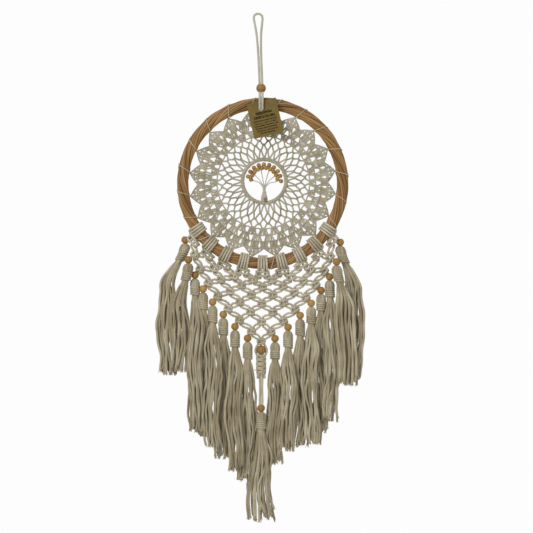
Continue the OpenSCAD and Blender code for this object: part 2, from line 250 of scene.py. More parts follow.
class Yarns:
    """Collects tubes of cord, yarn, thread or cane into one mesh, with a tint for each tube."""

    def __init__(self):
        self.points, self.faces, self.laps, self.tints, self.count = [], [], [], [], 0

    def add(self, route, thick, plies=3, groove=0.2, pitch=CORD_PITCH, sides=10, tint=0.5, turn=0.0,
            closed=False):
        """A twisted cord along an even route; thick is one diameter or one for each point."""
        n = len(route)
        radius = np.broadcast_to(np.asarray(thick, float) / 2, n)
        tangent, side, up = frames(route)
        along = np.concatenate([[0], np.cumsum(np.linalg.norm(np.diff(route, axis=0), axis=1))])
        angle = (np.arange(sides) * 2 * math.pi / sides)[None]
        phase = (2 * math.pi * along / pitch + turn)[:, None]
        reach = (radius[:, None] * (1 - groove * np.sin(plies * (angle - phase) / 2) ** 2))[..., None]
        ring = side[:, None] * np.cos(angle)[..., None] + up[:, None] * np.sin(angle)[..., None]
        body = route[:, None] + reach * ring
        lap = np.stack(np.broadcast_arrays(np.cos(angle - phase), np.sin(angle - phase),
                                           (along / pitch)[:, None] + 7 * tint), axis=2)
        self.keep(body.reshape(-1, 3), ring_quads(n, sides, closed) + self.count, lap.reshape(-1, 3), tint)
        if not closed:
            col = np.arange(sides)
            for end, way in ((0, -1), (n - 1, 1)):
                tip = route[end] + way * tangent[end] * radius[end] * 0.4
                rim = self.count - n * sides - (way > 0) + end * sides
                pair = (rim + col, rim + (col + 1) % sides)[::way]
                cap = np.stack([pair[0], pair[1], np.full(sides, self.count)], axis=1)
                self.keep(tip[None], cap, lap[end, :1], tint)

    def keep(self, points, faces, laps, tint):
        self.points.append(points)
        self.faces.append(faces)
        self.laps.append(laps)
        self.tints.append(np.full(len(points), tint))
        self.count += len(points)

    def piece(self, name, finish):
        """Makes the mesh object, smooth-shaded, with its material."""
        points = 0.001 * np.vstack(self.points)
        sizes = np.concatenate([np.full(len(f), f.shape[1]) for f in self.faces])
        corners = np.concatenate([f.reshape(-1) for f in self.faces])
        mesh = bpy.data.meshes.new(name)
        mesh.vertices.add(len(points))
        mesh.vertices.foreach_set("co", points.astype(np.float32).reshape(-1))
        mesh.loops.add(len(corners))
        mesh.loops.foreach_set("vertex_index", corners.astype(np.int32))
        mesh.polygons.add(len(sizes))
        mesh.polygons.foreach_set("loop_start", (np.cumsum(sizes) - sizes).astype(np.int32))
        mesh.update(calc_edges=True)
        mesh.shade_smooth()
        lap = mesh.attributes.new("lap", "FLOAT_VECTOR", "POINT")
        lap.data.foreach_set("vector", np.vstack(self.laps).astype(np.float32).reshape(-1))
        tint = mesh.attributes.new("tint", "FLOAT", "POINT")
        tint.data.foreach_set("value", np.concatenate(self.tints).astype(np.float32))
        mesh.materials.append(finish)
        made = bpy.data.objects.new(name, mesh)
        scene.collection.objects.link(made)
        return made


def spun(dark, mid, light, fuzz_mm, fibre_bump=0.5):
    """Colour and fine bump of twisted yarn: fibres run with the ply, with fuzz and soft blotches."""
    def build(tree, shader):
        lap = node(tree, "Attribute", attribute_name="lap").outputs["Vector"]
        tint = node(tree, "Attribute", attribute_name="tint").outputs["Fac"]
        place = node(tree, "TexCoord").outputs["Object"]
        lie = node(tree, "Mapping", {"Vector": lap}, Scale=(4.5, 4.5, 2.5))
        fibre = node(tree, "TexNoise", {"Vector": lie}, Scale=1.0, Detail=3.0, Roughness=0.65)
        fuzz = node(tree, "TexNoise", {"Vector": place}, Scale=1000 / fuzz_mm, Detail=1.0)
        blotch = node(tree, "TexNoise", {"Vector": place}, Scale=55.0, Detail=2.0)
        shade = node(tree, "Math", {0: tint, 1: 0.5}, operation="MULTIPLY")
        first = node(tree, "Math", {0: fibre, 1: shade}, operation="ADD")
        second = node(tree, "Math", {0: first, 1: blotch}, operation="ADD")
        level = node(tree, "MapRange", {"Value": second, "From Min": 0.85, "From Max": 1.65})
        colour = ramp(tree, level, (0.0, dark), (0.5, mid), (1.0, light))
        height = node(tree, "Math", {0: fibre, 1: fuzz}, operation="ADD")
        surface(tree, shader, colour, height, fibre_bump, 0.0004)
    return build


def fitted(part, body, slot, *nodes):
    """Gives a mesh its body and hides the CAD nodes that it stands for; slot is not used."""
    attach(part, body)
    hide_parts(*nodes)


# Unbleached cotton: a dry, chalky surface with a faint sheen from its loose fibres.
COTTON = {"Roughness": 0.92, "Sheen_Weight": 0.2, "Sheen_Roughness": 0.5, "Specular_IOR_Level": 0.25}
loop_cotton = material("loop_cotton_cord", spun("#a8a48f", "#c1beab", "#d6d3c3", 0.3), **COTTON)

hoop_low, hoop_high, HOOP = box_mm("rattan_hoop")
BUNDLE = 15.0                   # thickness of the bundle of cane
HOOP_R = (hoop_high[0] - hoop_low[0] - BUNDLE) / 2
HANG_X = HOOP[0] - 2            # the line that the loop, bead, tag and drop hang on
STRAND = 1.72                   # each strand's distance from that line
hoop_top = hoop_high[2]
hitch_z = hoop_top - BUNDLE / 2
tag_back = -(BUNDLE / 2 + 2 * CORD + 0.55)
front_y = tag_back - 1.0 - CORD / 2
hole_z = hoop_top - BUNDLE - 0.8

up_the_front = [(STRAND, front_y, hole_z + 0.5), (STRAND, front_y - 1.0, hole_z + 6),
                (STRAND, front_y - 0.9, hitch_z + 3.2), (STRAND, -10.2, hitch_z + 9.1),
                (STRAND, -5.2, hitch_z + 12.5), (STRAND, -1.6, hitch_z + 15.1), (STRAND, 0, -95.5)]
to_the_nail = [(1.7, 0, -70), (1.75, 0, -56), (2.1, 0, -40), (3.0, 0, -24), (4.6, 0, -12), (5.5, 0, -6)]
over_the_nail = [(5.6 * math.cos(a), 0, 5.6 * math.sin(a) - 4) for a in np.radians((20, 50, 90))]
half_loop = np.array(up_the_front + to_the_nail + over_the_nail)
other_half = (half_loop * (-1, 1, 1))[-2::-1]
loop_route = np.vstack([half_loop, other_half])
loop_route[:, 0] += HANG_X * np.clip(-loop_route[:, 2] / 94, 0, 1)
loop_route = smooth(loop_route, 0.7)
loop = Yarns()
loop.add(loop_route, CORD, sides=14, tint=0.6)
loop = loop.piece("hanging_loop_cord", loop_cotton)
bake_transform(loop)
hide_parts("hanging_loop")


# Hitch. Below the bead the strands take a turn each round the cane before they come up the front,
# and their ends pass through the hole of the tag.
hitch = Yarns()
for side in (-1, 1):
    x = HANG_X + side * STRAND
    a = np.radians(np.arange(0, 360, 20))
    turn = np.stack([np.full(18, x), 9.25 * np.cos(a), hitch_z + 9.25 * np.sin(a)], axis=1)
    hitch.add(smooth(turn, 0.7, closed=True), CORD, sides=12, tint=0.5, closed=True, turn=side)
    through = [(side * 1.72, front_y, hole_z + 3.5), (side * 1.6, front_y + 0.3, hole_z + 0.2),
               (side * 1.3, tag_back - 0.3, hole_z - 1.0), (side * 1.5, -8.3, hole_z - 0.4),
               (side * 1.72, -6.0, hole_z + 1.8)]
    hitch.add(smooth(np.array(through) + (HANG_X, 0, 0), 0.7), CORD, sides=12, tint=0.6)
hitch = hitch.piece("hitch_cord", loop_cotton)
fitted(hitch, "hoop", "cotton_cord", "hanging_hitch")


# Beads of the hoop and tassels: turned beech, sanded and oiled a warm tan, with a drilled bore
# whose mouths are softened. The grain runs along the bore.
def turned(centre, size, bore, lean=0.0, across=False):
    """Points and faces of a drilled ball; lean turns it round the front-to-back axis."""
    half = math.acos(bore / size)
    outside = [(size / 2 * math.cos(a), size / 2 * math.sin(a)) for a in np.linspace(-half, half, 21)]
    top = size / 2 * math.sin(half)
    lip = 0.07 * bore
    profile = outside[1:-1] + [(bore / 2 + lip, top - lip / 2), (bore / 2, top - 2 * lip)]
    profile += [(bore / 2, 0.0), (bore / 2, -top + 2 * lip), (bore / 2 + lip, -top + lip / 2)]
    count = 40
    spin = np.arange(count) * 2 * math.pi / count
    shape = np.array(profile)
    ball = np.stack(np.broadcast_arrays(shape[:, :1] * np.cos(spin), shape[:, :1] * np.sin(spin),
                                        shape[:, 1:]), axis=2).reshape(-1, 3)
    if across:
        ball = ball[:, [0, 2, 1]] * (1, -1, 1)
    c, s = math.cos(lean), math.sin(lean)
    ball = np.stack([c * ball[:, 0] + s * ball[:, 2], ball[:, 1], c * ball[:, 2] - s * ball[:, 0]], axis=1)
    return ball + centre, ring_quads(len(profile), count, closed=True)


def beads(name, balls, finish):
    """One mesh of several drilled balls, each given as turned() takes it, with a tint for each."""
    made = Yarns()
    for i, ball in enumerate(balls):
        points, quads = turned(*ball)
        local = (points - ball[0]) / ball[1]
        made.keep(points, quads + made.count, local + 3.1 * i, (0.37 * i + 0.013 * abs(ball[0][0])) % 1)
    return made.piece(name, finish)


def beech(tree, shader):
    lap = node(tree, "Attribute", attribute_name="lap").outputs["Vector"]
    tint = node(tree, "Attribute", attribute_name="tint").outputs["Fac"]
    lie = node(tree, "Mapping", {"Vector": lap}, Scale=(7.0, 7.0, 0.9))
    grain = node(tree, "TexNoise", {"Vector": lie}, Scale=1.0, Detail=4.0, Roughness=0.6)
    rings = node(tree, "TexWave", {"Vector": lap}, Scale=1.6, Distortion=3.0, Detail=2.0)
    pore_lie = node(tree, "Mapping", {"Vector": lap}, Scale=(34.0, 34.0, 5.0))
    pores = node(tree, "TexNoise", {"Vector": pore_lie}, Scale=1.0, Detail=2.0)
    both = node(tree, "Mix", {2: grain, 3: rings.outputs["Fac"], 0: 0.35})
    shaded = node(tree, "Mix", {2: both, 3: tint, 0: 0.3})
    colour = ramp(tree, shaded, (0.22, "#86632c"), (0.5, "#ac833f"), (0.8, "#c9a463"))
    surface(tree, shader, colour, pores, 0.25, 0.0002)


# Oiled beech: half-matt with a small soft highlight.
turned_beech = material("turned_beech", beech, Roughness=0.48, IOR=1.5)

low, high, middle = box_mm("hanging_bead")
hanging_bead = beads("hanging_bead_beech", [(middle, high[0] - low[0], 7.4)], turned_beech)
fitted(hanging_bead, "hanging_bead", "turned_wood", "hanging_bead")


# Hoop. Thin peeled canes of rattan, laid side by side and twisted into a bundle as they go round:
# seen from the front each one drifts from the inner edge to the outer as it runs clockwise.
CANES = 15
CANE = 2.7
TWISTS = 4
dice = np.random.default_rng(11)
SMOOTH = {"plies": 1, "groove": 0.0, "pitch": 60.0, "sides": 12, "closed": True}


def circled(middle, reach, turn, y=0.0):
    """Points at a reach from a middle and a turn round it, as seen from the front."""
    spots = np.broadcast_arrays(middle[0] + reach * np.cos(turn), y, middle[2] + reach * np.sin(turn))
    return np.stack(spots, axis=1)


canes = Yarns()
theta = np.arange(0, 2 * math.pi, 1.5 / HOOP_R)
for i in range(CANES):
    wave = sum(dice.normal(0, 0.05) * np.sin(k * theta + dice.uniform(0, 6.28)) for k in (3, 5, 8, 13))
    lift = sum(dice.normal(0, 0.12) * np.sin(k * theta + dice.uniform(0, 6.28)) for k in (4, 7, 11))
    alpha = 2 * math.pi * i / CANES + TWISTS * theta + wave
    out = BUNDLE / 2 - CANE / 2 + lift - 0.1
    route = circled(HOOP, HOOP_R + out * np.cos(alpha), theta, -out * np.sin(alpha))
    thick = CANE * (1 + 0.07 * dice.normal() + 0.04 * np.sin(9 * theta + i))
    canes.add(route, thick, tint=dice.uniform(0, 1), **SMOOTH)
core_d = BUNDLE - 4.6           # the inner canes, seen only between the outer ones; tint 0.0 darkens them as painted shade
# Tint 0.0 gives the core the darkest cane colour: painted shade in the gaps between the outer canes.
canes.add(circled(HOOP, HOOP_R, theta), core_d, tint=0.0, **SMOOTH)


def rattan(tree, shader):
    lap = node(tree, "Attribute", attribute_name="lap").outputs["Vector"]
    tint = node(tree, "Attribute", attribute_name="tint").outputs["Fac"]
    place = node(tree, "TexCoord").outputs["Object"]
    lie = node(tree, "Mapping", {"Vector": lap}, Scale=(6.0, 6.0, 1.4))
    fibre = node(tree, "TexNoise", {"Vector": lie}, Scale=1.0, Detail=5.0, Roughness=0.65)
    patch = node(tree, "TexNoise", {"Vector": place}, Scale=30.0, Detail=2.0)
    tone = node(tree, "Mix", {2: fibre, 3: tint, 0: 0.42})
    total = node(tree, "Mix", {2: tone, 3: patch, 0: 0.25})
    colour = ramp(tree, total, (0.2, "#684420"), (0.4, "#916a38"), (0.58, "#a9824b"), (0.78, "#c9a672"))
    surface(tree, shader, colour, fibre, 0.35, 0.0003)


# Peeled rattan: straw-brown with fine streaks along each cane and a low satin shine.
rattan_cane = material("rattan_cane", rattan, Roughness=0.55, IOR=1.5)
canes = canes.piece("rattan_canes", rattan_cane)
fitted(canes, "hoop", "rattan", "rattan_hoop")


# Lashing. One thin waxed cotton thread winds round the hoop and catches the point of each fan.
FANS = 20
FAN_START = math.radians(10)
THREAD = 1.0
tips = FAN_START + np.arange(FANS) * 2 * math.pi / FANS
thread_route = []
for i, tip in enumerate(tips):
    gap = 2 * math.pi / FANS
    for share in np.linspace(0, 1, 7)[:-1]:
        thread_route.append((tip - math.radians(5.5) * share, math.pi * (1 - share)))
    for share in np.linspace(0, 1, 7)[:-1]:
        at = tip - math.radians(5.5) + (gap + math.radians(5.5)) * share
        thread_route.append((at, -math.pi * share))
around = np.array(thread_route)
out = BUNDLE / 2 + THREAD / 2 - 0.1 + 0.25 * np.sin(7 * around[:, 0])
thread_route = circled(HOOP, HOOP_R + out * np.cos(around[:, 1]), around[:, 0], -out * np.sin(around[:, 1]))
thread = Yarns()
thread.add(smooth(thread_route, 0.8, closed=True), THREAD, plies=2, groove=0.25, pitch=3.0, sides=8,
           tint=0.6, closed=True)
waxed_thread = material("waxed_cotton_thread", spun("#b9a987", "#d3c6a6", "#e6dcc2", 0.3), Roughness=0.6)
thread = thread.piece("lashing_cotton_thread", waxed_thread)
fitted(thread, "hoop", "cotton_thread", "lashing_thread")


# Small ring. A steel wire ring, hidden under close turns of crochet cotton.
ring_low, ring_high, RING = box_mm("ring_wire")
RING_R = (ring_high[0] - ring_low[0] - 2) / 2
RING_WRAP = 5.6
WRAP_TURNS = 86
a = np.linspace(0, 2 * math.pi, WRAP_TURNS * 26, endpoint=False)
wire = Yarns()
wire.add(circled(RING, RING_R, a[::14]), 2.0, plies=1, groove=0.0, sides=16, closed=True)

# Drawn steel wire: bright, but not polished.
steel = material("bright_steel_wire", Base_Color=srgb("#9b9b98"), Metallic=1.0, Roughness=0.35)
wire = wire.piece("ring_steel_wire", steel)
fitted(wire, "hoop", "steel_wire", "ring_wire")

YARN = 1.9
wrap_out = RING_WRAP / 2 - YARN / 2 + 0.1
spin = WRAP_TURNS * a + 0.5 * np.sin(5 * a)
wrap_route = circled(RING, RING_R + wrap_out * np.cos(spin), a, -wrap_out * np.sin(spin))
wrap = Yarns()
wrap.add(evenly(np.vstack([wrap_route, wrap_route[:1]]), 0.5, True), YARN, plies=2, groove=0.18, pitch=5.0,
         sides=10, tint=0.95, closed=True)
crochet_cotton = material("crochet_cotton", spun("#9c947b", "#b8b098", "#d0cab4", 0.25), **COTTON)
wrap = wrap.piece("ring_wrap_cotton", crochet_cotton)
fitted(wrap, "hoop", "crochet_cotton", "ring_wrap")


# Crochet web. Worked outward from the small ring in one cotton yarn: rounds of chain arches, a
# close border of tall stitches with two rounds of holes, and twenty pointed fans.
COLUMNS = 28
column = 2 * math.pi / COLUMNS
WEB_TIP = HOOP_R - BUNDLE / 2 - 0.8


def web_spot(r, turn, y=0.0):
    """A point of the web; the small ring sits a little up and right of the hoop's middle."""
    share = min(1.0, max(0.0, (80 - r) / 50))
    middle = HOOP * (1 - share) + RING * share
    return (middle[0] + r * math.cos(turn), y, middle[2] + r * math.sin(turn))


def stitched(yarns, points, width=1.8, step=0.55, closed=False, tint=None, sides=8):
    """One run of crochet chain or post: a fat two-ply yarn with a short twist."""
    tint = dice.uniform(0.15, 0.85) if tint is None else tint
    yarns.add(smooth(points, step, closed), width, plies=2, groove=0.34, pitch=3.4, sides=sides,
              closed=closed, tint=tint, turn=dice.uniform(0, 6.28))


def post(yarns, foot, head):
    """One tall stitch of a fan, standing a little proud in the middle."""
    stitched(yarns, [foot, (np.array(foot) + head) / 2 - (0, 0.5, 0), head], 3.0)


mesh_r = (30.5, 41.0, 47.8, 53.4, 59.6)
mesh = Yarns()
jitter = dice.normal(0, 0.35, (5, COLUMNS, 2))
for low_row in range(4):
    arch = []
    for k in range(COLUMNS):
        shift = low_row % 2 / 2
        r, nudge = mesh_r[low_row], jitter[low_row, k]
        arch.append(web_spot(r + nudge[0] - 0.4, (k + shift) * column + nudge[1] / r, 0.5))
        r, nudge = mesh_r[low_row + 1], jitter[low_row + 1, (k + low_row % 2) % COLUMNS]
        arch.append(web_spot(r + nudge[0] + 0.4, (k + shift + 0.5) * column + nudge[1] / r, -0.5))
    stitched(mesh, arch, 2.55, closed=True)
for row in range(1, 5):
    for k in range(COLUMNS):
        turn = (k + row % 2 / 2) * column
        r = mesh_r[row] + jitter[row, k][0]
        knot_turn = np.linspace(0, 2 * math.pi, 6, endpoint=False)
        tie = [web_spot(r + 1.1 * math.cos(b), turn + 1.1 * math.sin(b) / r, -0.5 - math.cos(2 * b))
               for b in knot_turn]
        stitched(mesh, tie, 1.5, 0.6, True, sides=6)
mesh = mesh.piece("crochet_mesh", crochet_cotton)

border = Yarns()
rounds = (59.8, 67.0, 74.6)
for low, high, shift in ((rounds[0], rounds[1], 0.0), (rounds[1], rounds[2], 0.5)):
    for k in range(COLUMNS):
        for m in range(-2, 3):
            off = m * 0.2 + dice.normal(0, 0.012)
            foot = web_spot(low - 0.8, (k + shift + off * 0.55) * column, 0.4)
            waist = web_spot((low + high) / 2, (k + shift + off * 0.74) * column, -0.8)
            head = web_spot(high + 0.5, (k + shift + off * 0.98 + 0.03 * (-1) ** m) * column, -0.3)
            stitched(border, [foot, waist, head], 2.6)
for r in rounds:
    for y in (-0.9, 0.9):
        ring = [web_spot(r + 0.5 * math.cos(COLUMNS * t) + 0.3 * math.sin(5 * COLUMNS * t), t, y)
                for t in np.arange(0, 2 * math.pi, 1.6 / r)]
        stitched(border, ring, 1.9, closed=True, tint=0.5)
rim_r, eyelet_r, valley_r = 75.2, 79.6, 84.0
posts = 12 * FANS
for i in range(posts):
    turn = 2 * math.pi * (i + 0.5) / posts
    place = (turn - FAN_START) / (math.pi / FANS) - 0.5
    off = place - round(place)      # posts bend away from the eyelets, which lie at whole places
    push = math.copysign(max(0.0, 1.0 - abs(off) * 2.6), off or 1.0) * 1.9
    bent = turn + push / eyelet_r
    slant = 0.006 * (-1) ** i
    route = [web_spot(rim_r - 0.6, turn, 0.3), web_spot(77.6, (turn + bent) / 2, -0.4),
             web_spot(eyelet_r, bent, -0.5), web_spot(81.8, (turn + bent) / 2, -0.3),
             web_spot(valley_r, turn + slant, 0.3)]
    stitched(border, route, 2.5)
for r, y, width in ((valley_r - 0.6, -0.8, 1.9), (valley_r - 0.4, 0.8, 1.7)):
    ring = [web_spot(r + 0.35 * math.sin(9 * t), t, y + 0.25 * math.sin(31 * t))
            for t in np.arange(0, 2 * math.pi, 2.6 / r)]
    stitched(border, ring, width, closed=True, tint=0.6)
border = border.piece("crochet_border", crochet_cotton)

fans = Yarns()
for tip in tips:
    edge = []
    for m in range(-5, 6):
        share = abs(m) / 5
        turn = tip + m * math.radians(1.74)
        r = WEB_TIP - 0.8 - (WEB_TIP - valley_r) * share ** 1.1
        edge.append(web_spot(r, turn, -0.2))
        step_r = min(r, 88.6)
        slant = math.radians(0.55) * (-1) ** m
        if abs(m) < 5:
            foot = web_spot(valley_r - 1.5, tip + m * math.radians(1.35), 0.5)
            head = web_spot(step_r, tip + m * math.radians(1.6) + slant, -0.5)
            post(fans, foot, head)
        if abs(m) < 3:
            foot = web_spot(step_r - 0.8, tip + m * math.radians(1.7), 0.5)
            head = web_spot(r - 0.4, tip + m * math.radians(1.5) + slant, -0.4)
            post(fans, foot, head)
    for y in (-0.9, 0.9):
        ridge = [web_spot(88.4 + 0.3 * math.sin(2 * m), tip + m * math.radians(1.5), y)
                 for m in range(-3, 4)]
        stitched(fans, ridge, 1.7)
    stitched(fans, edge, 2.2)
    stitched(fans, [web_spot(WEB_TIP - 2.2, tip, 0.2), web_spot(WEB_TIP + 0.9, tip, 0.0)], 1.8)
fans = fans.piece("crochet_fans", crochet_cotton)
for part in (mesh, border, fans):
    fitted(part, "hoop", "crochet_cotton", "crochet_web")


# Tree of life. Twelve fine cotton cords are bound into a tapering trunk with a knot at its foot;
# they part at the fork into six branches that carry bunches of tiny drilled beads.
tree_low, tree_high, tree_mid = box_mm("tree_trunk")
FORK = np.array((RING[0], 0, tree_high[2]))
FOOT = np.array((RING[0], 0, tree_low[2]))
RING_IN = RING_R - RING_WRAP / 2
BEADLET = 4.8
ARCH_BEADS = 20
ARCH_R = (RING_IN - 0.75 * BEADLET, RING_IN - 1.7 * BEADLET)
ARCH_STEP = 173 / (ARCH_BEADS - 1)
branch_back = 3.1


def ring_spot(r, degrees, y=0.0):
    turn = math.radians(degrees)
    return np.array((RING[0] + r * math.cos(turn), y, RING[2] + r * math.sin(turn)))


crown = [ring_spot(ARCH_R[i % 2], i * ARCH_STEP) for i in range(ARCH_BEADS)]
branches = []
for b in range(6):
    first, last = max(0, 4 * b - 2), min(ARCH_BEADS - 1, 4 * b + 1)
    branches.append(((first + last) / 2 * ARCH_STEP, sum(ARCH_R) / 2, crown[first:last + 1]))
branches.sort(key=lambda branch: -branch[0])

FINE = {"plies": 2, "groove": 0.3, "sides": 8}
tree = Yarns()
twigs = Yarns()
for i, (degrees, r, spots) in enumerate(branches):
    hub = ring_spot(r, degrees, branch_back)
    for strand in range(2):
        slot = (2 * i + strand - 5.5) / 5.5
        depth = 1.1 * math.cos(math.pi * slot / 2) * (-1) ** strand
        foot = FOOT + (3.9 * slot, 1.8 * depth, -0.2)
        waist = FOOT * 0.5 + FORK * 0.5 + (2.2 * slot, 1.2 * depth, 0)
        crotch = FORK + (1.35 * slot, 0.7 * depth, -1.5)
        reach = hub - FORK
        bow = FORK + 0.35 * reach + (0, 0, 1.6 * math.cos(math.radians(degrees)) ** 2)
        rise = np.array([foot, (foot + waist) / 2 + (0.4 * slot, 0, 0), waist, crotch, bow,
                         FORK + 0.72 * reach, hub + (0.4 * strand, 0, 0)])
        tree.add(smooth(rise, 0.5), 1.45, pitch=3.2, tint=dice.uniform(0.2, 0.9), **FINE)
    for spot in spots:
        route = np.array([hub, (hub + spot) / 2 + (0, 2.2, 0), spot + (0, 2.6, 0), spot + (0, -2.7, 0)])
        twigs.add(smooth(route, 0.5), 0.95, plies=2, groove=0.2, pitch=2.5, sides=8, tint=0.2)
a = np.radians(np.arange(0, 360, 30))
for place in (0.5, 2.5, 5.5, 8.5):
    share = place / 9
    middle = FOOT * (1 - share) + FORK * share - (0, 0, 1.0)
    wide, deep = 4.0 - 2.4 * share ** 0.8, 3.0 - 1.4 * share
    band = np.stack([middle[0] + wide * np.cos(a), deep * np.sin(a), middle[2] + 0.7 * np.cos(a)], 1)
    tree.add(smooth(band, 0.5, True), 1.1, pitch=2.6, tint=0.7, closed=True, **FINE)
knot = Yarns()
for slant in np.radians((0, 60, 120)):
    c, s = math.cos(slant), math.sin(slant)
    turn = np.stack([1.6 * np.cos(a) * c, 1.5 * np.sin(a), 1.7 * np.cos(a) * s + 0.6 * np.sin(a)], 1)
    knot.add(smooth(turn + FOOT + (1.6, -3.6, 0.2), 0.5, True), 1.5, pitch=3.0, tint=0.5,
             closed=True, **FINE)
pale_cotton = material("pale_cotton_yarn", spun("#aea893", "#c9c4b2", "#dedacb", 0.25), **COTTON)
brown_cotton = material("brown_cotton_yarn", spun("#6d5637", "#8b7048", "#a68a60", 0.25), **COTTON)
tree = tree.piece("tree_trunk_cotton", pale_cotton)
fitted(tree, "hoop", "crochet_cotton", "tree_trunk")
knot = knot.piece("tree_foot_knot_cotton", brown_cotton)
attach(knot, "hoop")
twigs = twigs.piece("tree_twig_cotton", pale_cotton)
fitted(twigs, "hoop", "crochet_cotton", "tree_branches")
balls = [(spot, BEADLET + 0.9, 1.1, math.radians(i * ARCH_STEP)) for i, spot in enumerate(crown)]
tiny_beads = beads("tree_beech_beads", balls, turned_beech)
fitted(tiny_beads, "hoop", "turned_wood", "tree_beads")


# Swing tag. Die-cut kraft card with a punched hole, printed with plain grey-brown rules only:
# two broad lines of heading and a few fine lines under it.
TAG_W, TAG_H, TAG_T = 38.5, 45.5, 0.6
TAG_TILT = math.radians(13)
HOLE = 3.1
HOLE_IN, HOLE_DOWN = 17.0, 10.0     # from the card's left and top edges to the hole's middle
BOW = 0.5


def card_outline(count):
    """The card's edge round its hole, with slightly rounded corners, and the hole's own edge."""
    left, right, top, bottom = -HOLE_IN, TAG_W - HOLE_IN, HOLE_DOWN, HOLE_DOWN - TAG_H
    edge, hole = [], []
    for i in range(count):
        a = 2 * math.pi * i / count
        way = np.array((math.cos(a), math.sin(a)))
        reach = min((right if way[0] > 0 else left) / way[0] if abs(way[0]) > 1e-9 else 1e9,
                    (top if way[1] > 0 else bottom) / way[1] if abs(way[1]) > 1e-9 else 1e9)
        edge.append(way * reach)
        hole.append(way * HOLE)
    for corner in ((left, top), (right, top), (right, bottom), (left, bottom)):
        nearest = min(range(count), key=lambda i: np.hypot(*(edge[i] - corner)))
        edge[nearest] = np.array(corner) * (1 - 0.5 / np.hypot(*corner))
    return np.array(edge), np.array(hole)


count, rings = 180, 24
edge, hole = card_outline(count)
card_points, card_laps = [], []
for face_y in (-TAG_T, 0.0):
    for r in range(rings + 1):
        share = r / rings
        flat = hole * (1 - share) + edge * share
        u = (flat[:, 0] + HOLE_IN) / TAG_W
        v = (flat[:, 1] - HOLE_DOWN + TAG_H) / TAG_H
        curl = -BOW * (2 * u - 1) ** 2 + 0.25 * np.sin(3 * v)
        rim = 0.12 if r in (0, rings) else 0.0
        depth = face_y + (rim if face_y else -rim)
        c, s = math.cos(TAG_TILT), math.sin(TAG_TILT)
        x, z = c * flat[:, 0] - s * flat[:, 1], s * flat[:, 0] + c * flat[:, 1]
        card_points.append(np.stack([HANG_X + x, tag_back + depth + curl, hole_z + z], 1))
        card_laps.append(np.stack([u, v, 0 * u + (face_y < 0)], 1))
per_face = (rings + 1) * count
sheet = ring_quads(rings + 1, count)
quads = [sheet[:, ::-1], sheet + per_face]
for r in (0, rings):
    i = r * count + np.arange(count)
    j = r * count + (np.arange(count) + 1) % count
    rim = np.stack([i, j, per_face + j, per_face + i], axis=1)
    quads.append(rim if r else rim[:, ::-1])


def kraft(tree, shader):
    lap = node(tree, "Attribute", attribute_name="lap").outputs["Vector"]
    place = node(tree, "TexCoord").outputs["Object"]
    pulp = node(tree, "TexNoise", {"Vector": place}, Scale=1600.0, Detail=4.0)
    cloud = node(tree, "TexNoise", {"Vector": place}, Scale=130.0, Detail=3.0)
    fleck = node(tree, "TexVoronoi", {"Vector": place}, Scale=900.0)
    tone = node(tree, "Mix", {2: pulp, 3: cloud, 0: 0.5})
    card_colour = ramp(tree, tone, (0.3, "#6c5b2c"), (0.7, "#867342"))
    dark = node(tree, "Math", {0: fleck.outputs["Distance"], 1: 0.12}, operation="LESS_THAN")
    flecked = blend_colours(tree, dark.outputs[0], card_colour, "#5e4e26")
    parts = node(tree, "SeparateXYZ", {0: lap})
    wobble = node(tree, "TexNoise", {"Vector": place}, Scale=520.0, Detail=3.0)
    ink = None
    rules = ((0.665, 0.075, 0.22, 0.78), (0.555, 0.075, 0.14, 0.86), (0.455, 0.032, 0.10, 0.88),
             (0.385, 0.032, 0.13, 0.86), (0.315, 0.032, 0.10, 0.90), (0.245, 0.032, 0.12, 0.84),
             (0.175, 0.032, 0.15, 0.86), (0.105, 0.032, 0.24, 0.74))
    for height, thick, start, stop in rules:
        off = node(tree, "Math", {0: parts.outputs[1], 1: height}, operation="SUBTRACT")
        near = node(tree, "Math", {0: off}, operation="ABSOLUTE")
        band = node(tree, "Math", {0: near, 1: thick / 2}, operation="LESS_THAN")
        after = node(tree, "Math", {0: parts, 1: start}, operation="GREATER_THAN")
        before = node(tree, "Math", {0: parts, 1: stop}, operation="LESS_THAN")
        span = node(tree, "Math", {0: after, 1: before}, operation="MULTIPLY")
        rule = node(tree, "Math", {0: band, 1: span}, operation="MULTIPLY")
        ink = node(tree, "Math", {0: ink or 0.0, 1: rule}, operation="MAXIMUM")
    front = node(tree, "Math", {0: ink, 1: parts.outputs[2]}, operation="MULTIPLY")
    worn = node(tree, "MapRange", {"Value": wobble, "From Min": 0.38, "From Max": 0.5,
                                   "To Min": 0.25, "To Max": 0.9})
    printed = node(tree, "Math", {0: front, 1: worn}, operation="MULTIPLY")
    colour = blend_colours(tree, printed.outputs[0], flecked, "#2b2110")
    surface(tree, shader, colour, pulp, 0.3, 0.0001)


# Kraft card: matt recycled pulp with visible fibres and flecks, and dull printed rules.
kraft_card = material("kraft_card", kraft, Roughness=0.85, Specular_IOR_Level=0.2)
card = Yarns()
card.keep(np.vstack(card_points), np.vstack(quads), np.vstack(card_laps), 0.5)
card = card.piece("kraft_card_tag", kraft_card)
fitted(card, "tag", "kraft_card", "paper_tag")


# Knotted net. Eighteen cords are hitched over the hoop at their middles, so thirty-six strands
# hang in nine groups of four; each group ties a square knot, then trades halves with the next.
ROWS = 9
bead_at = {(side, k): box_mm(f"bead_{name}_{k}")[2]
           for side, name in ((-1, "left"), (1, "right")) for k in range(1, 9)}
TIE = 10.4
TIE_ANGLE = np.radians((84, 55, 43, 43, 43, 40, 36, 30))
centre_ball = box_mm("centre_bead")[2]
bottom_knot = centre_ball + (0, 0, 11.0)
ROW_ONE_R = HOOP_R + 13.6
sag = ROW_ONE_R - (HOOP[2] - (bead_at[-1, 1][2] + bead_at[1, 1][2]) / 2) - 1


